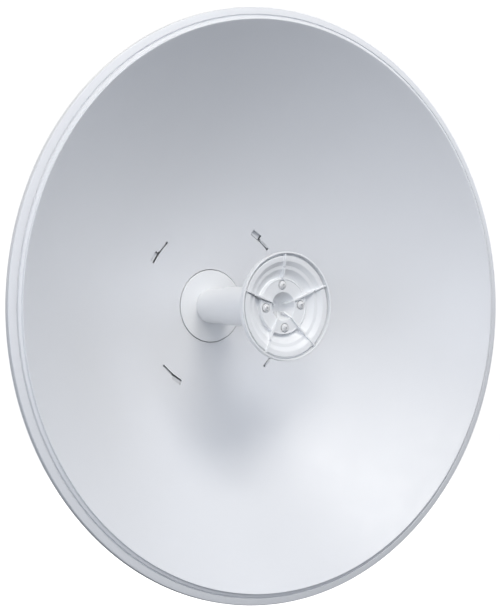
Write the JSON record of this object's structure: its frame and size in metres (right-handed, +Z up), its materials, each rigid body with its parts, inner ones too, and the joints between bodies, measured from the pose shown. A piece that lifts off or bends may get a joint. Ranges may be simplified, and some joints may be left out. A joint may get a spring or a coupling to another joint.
{
  "type": "microwave dish antenna",
  "caption": "Round parabolic dish antenna with a stepped rim, a splash-plate feed on a central tube, rear hub, radio housing, tilt bracket and mast clamp.",
  "frame": {"origin": "centre of the flat pad on the rear of the mast bracket's web, on the dish's axis", "axes": "-Y along the dish's axis towards what it looks at, +Y towards the mast, +Z up, +X to the right as seen from the front"},
  "size_m": [0.65, 0.4006, 0.65],
  "materials": {
    "white_coat": "smooth white powder coat, satin",
    "white_plastic": "moulded white UV-stable plastic, satin",
    "galvanised_steel": "zinc-coated bent steel plate, dull",
    "stainless_steel": "stainless fasteners, satin"
  },
  "bodies": {
    "root": {"cap_screw_1": "stainless_steel", "cap_screw_2": "stainless_steel", "cap_screw_3": "stainless_steel", "cap_screw_4": "stainless_steel", "clamp_bolt_lower_left": "stainless_steel", "clamp_bolt_lower_right": "stainless_steel", "clamp_bolt_upper_left": "stainless_steel", "clamp_bolt_upper_right": "stainless_steel", "clamp_nut_lower_left": "stainless_steel", "clamp_nut_lower_right": "stainless_steel", "clamp_nut_upper_left": "stainless_steel", "clamp_nut_upper_right": "stainless_steel", "ear_screw_left_1": "stainless_steel", "ear_screw_left_2": "stainless_steel", "ear_screw_right_1": "stainless_steel", "ear_screw_right_2": "stainless_steel", "feed_base": "white_plastic", "feed_cap": "white_plastic", "feed_sleeve": "white_plastic", "feed_tube": "white_plastic", "front_jaw_lower": "galvanised_steel", "front_jaw_upper": "galvanised_steel", "lock_tab_1": "galvanised_steel", "lock_tab_2": "galvanised_steel", "lock_tab_3": "galvanised_steel", "lock_tab_4": "galvanised_steel", "mast_bracket": "galvanised_steel", "port_cover": "white_plastic", "radio_housing": "white_plastic", "rear_hub": "white_coat", "rear_jaw_lower": "galvanised_steel", "rear_jaw_upper": "galvanised_steel", "reflector_dish": "white_coat", "subreflector": "white_plastic", "tilt_bolt_left_lower": "stainless_steel", "tilt_bolt_left_upper": "stainless_steel", "tilt_bolt_right_lower": "stainless_steel", "tilt_bolt_right_upper": "stainless_steel", "tilt_ear_left": "galvanised_steel", "tilt_ear_right": "galvanised_steel", "tilt_nut_left_lower": "stainless_steel", "tilt_nut_left_upper": "stainless_steel", "tilt_nut_right_lower": "stainless_steel", "tilt_nut_right_upper": "stainless_steel"}
  },
  "joints": []
}
